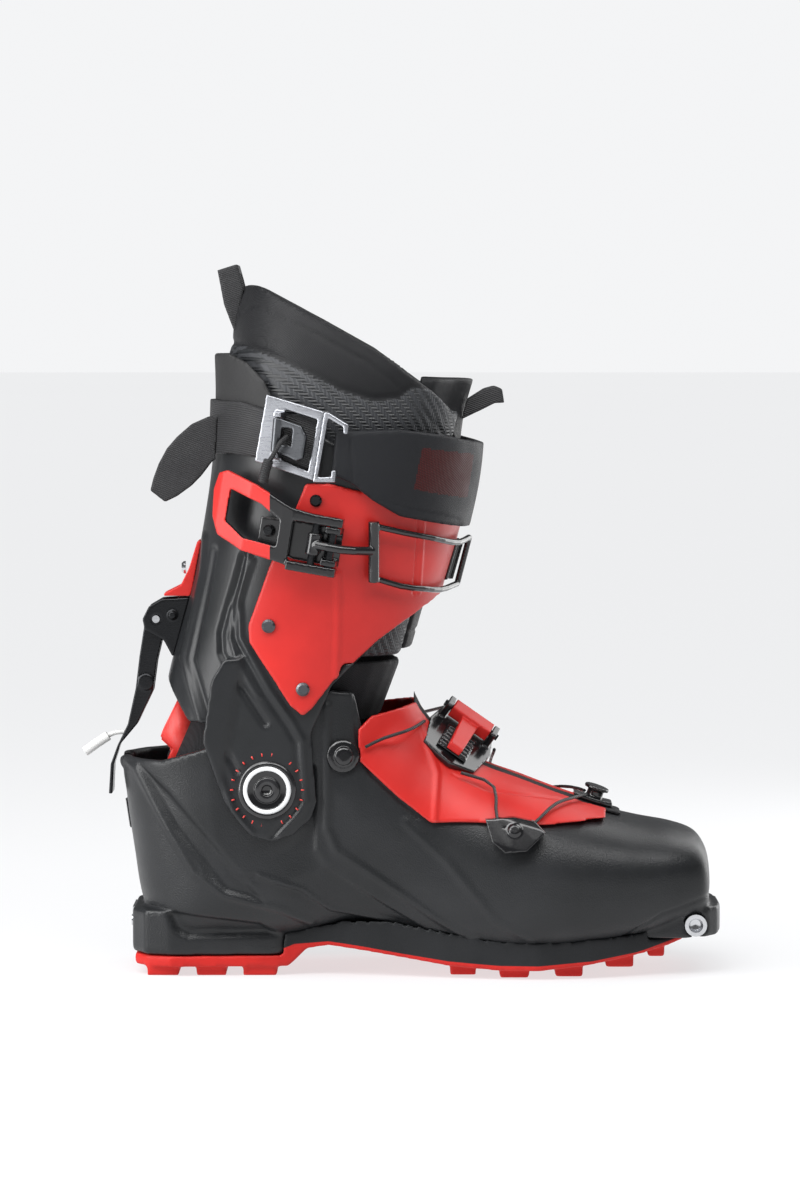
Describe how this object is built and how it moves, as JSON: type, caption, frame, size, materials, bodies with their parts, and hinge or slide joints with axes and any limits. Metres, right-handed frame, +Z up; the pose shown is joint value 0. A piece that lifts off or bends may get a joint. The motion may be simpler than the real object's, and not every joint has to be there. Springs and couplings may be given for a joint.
{
  "type": "alpine touring boot",
  "caption": "Right ski touring boot with a pivoting cuff, walk lever, laced instep, cuff buckle, power strap and rubber sole",
  "frame": {"origin": "middle of the bounding box, on the ground", "axes": "+X to the toe, +Y to the inner side of the foot, +Z up"},
  "size_m": [0.3024, 0.1356, 0.333],
  "materials": {
    "shell_plastic": "fine leather-grained moulded plastic",
    "red_plastic": "satin red moulded plastic",
    "sole_rubber": "moulded tread rubber",
    "soft_rubber": "soft black moulding",
    "liner_fabric": "padded twill liner",
    "webbing": "ribbed woven webbing",
    "board": "moulded foam-topped board",
    "grey_metal": "satin anodised aluminium",
    "steel": "brushed stainless steel",
    "black_metal": "gloss black coated metal",
    "red_metal": "red anodised lever",
    "cable": "coated steel cable",
    "clear_sleeve": "grey plastic sleeve on a short cord"
  },
  "bodies": {
    "shell": {"lower_shell": "shell_plastic", "outsole": "sole_rubber", "toe_fitting_lateral": "steel", "instep_flap_lateral": "red_plastic", "cable_anchor_lateral": "steel", "instep_cable_lateral": "cable", "forefoot_cable_lateral": "cable", "cable_guide_lateral": "soft_rubber", "pivot_bolt_lateral": "steel", "toe_fitting_medial": "steel", "instep_flap_medial": "red_plastic", "cable_anchor_medial": "steel", "instep_cable_medial": "cable", "forefoot_cable_medial": "cable", "cable_guide_medial": "soft_rubber", "pivot_bolt_medial": "steel", "heel_fitting": "steel", "lock_plate": "steel", "boot_board": "board", "liner_foot": "liner_fabric", "liner_flex": "liner_fabric", "rear_panel": "red_plastic", "gaiter": "soft_rubber", "instep_saddle": "shell_plastic", "instep_lever_pin": "steel", "instep_rack": "black_metal", "front_hook": "black_metal"},
    "cuff": {"cuff": "shell_plastic", "cuff_flap_lateral": "red_plastic", "cuff_flap_medial": "red_plastic", "flap_rivet_upper": "black_metal", "flap_rivet_middle": "grey_metal", "flap_rivet_lower": "grey_metal", "spoiler": "shell_plastic", "spine_housing": "red_plastic", "housing_bolt": "black_metal", "walk_bracket": "grey_metal", "walk_lever_pin": "steel", "liner_cuff": "liner_fabric", "tongue": "liner_fabric", "rear_loop": "webbing", "front_loop": "webbing", "strap_band": "webbing", "strap_pad": "webbing", "strap_tail": "webbing", "strap_buckle": "steel", "strap_hook": "steel", "strap_cam_pin": "steel", "buckle_base": "black_metal", "buckle_screw": "steel", "buckle_pin": "steel", "buckle_rack": "black_metal"},
    "walk_lever": {"walk_lever": "grey_metal", "walk_lever_pull": "clear_sleeve"},
    "strap_cam": {"strap_cam": "grey_metal", "strap_cam_pull": "clear_sleeve"},
    "buckle_lever": {"buckle_lever": "red_metal", "bail_pin": "steel"},
    "buckle_bail": {"buckle_bail": "black_metal"},
    "instep_lever": {"instep_lever": "red_plastic"}
  },
  "joints": [
    {"name": "cuff_pivot", "type": "hinge", "parent": "shell", "child": "cuff", "pos_m": [-0.06182, 0.00348, 0.0897], "axis": [0, 1, 0], "range_deg": [-18, 15], "deforming": ["liner_flex"]},
    {"name": "walk_lever_hinge", "type": "hinge", "parent": "cuff", "child": "walk_lever", "pos_m": [-0.11542, 0.00348, 0.1661], "axis": [0, 1, 0], "range_deg": [0, 35]},
    {"name": "strap_cam_hinge", "type": "hinge", "parent": "cuff", "child": "strap_cam", "pos_m": [-0.05697, -0.05644, 0.25287], "axis": [-0.0883, 0.032, -0.9956], "range_deg": [0, 70]},
    {"name": "buckle_lever_hinge", "type": "hinge", "parent": "cuff", "child": "buckle_lever", "pos_m": [-0.03193, -0.06114, 0.20301], "axis": [0.1676, -0.0163, 0.9857], "range_deg": [0, 130]},
    {"name": "buckle_bail_hinge", "type": "hinge", "parent": "buckle_lever", "child": "buckle_bail", "pos_m": [-0.03983, -0.06087, 0.20436], "axis": [0.1676, -0.0163, 0.9857], "range_deg": [-130, 0]},
    {"name": "instep_lever_hinge", "type": "hinge", "parent": "shell", "child": "instep_lever", "pos_m": [0.03331, -0.00348, 0.11812], "axis": [-0.8195, 0.0061, 0.5731], "range_deg": [0, 100]}
  ],
  "couplings": [
    {"joint": "buckle_bail_hinge", "follows": "buckle_lever_hinge", "ratio": -1}
  ]
}
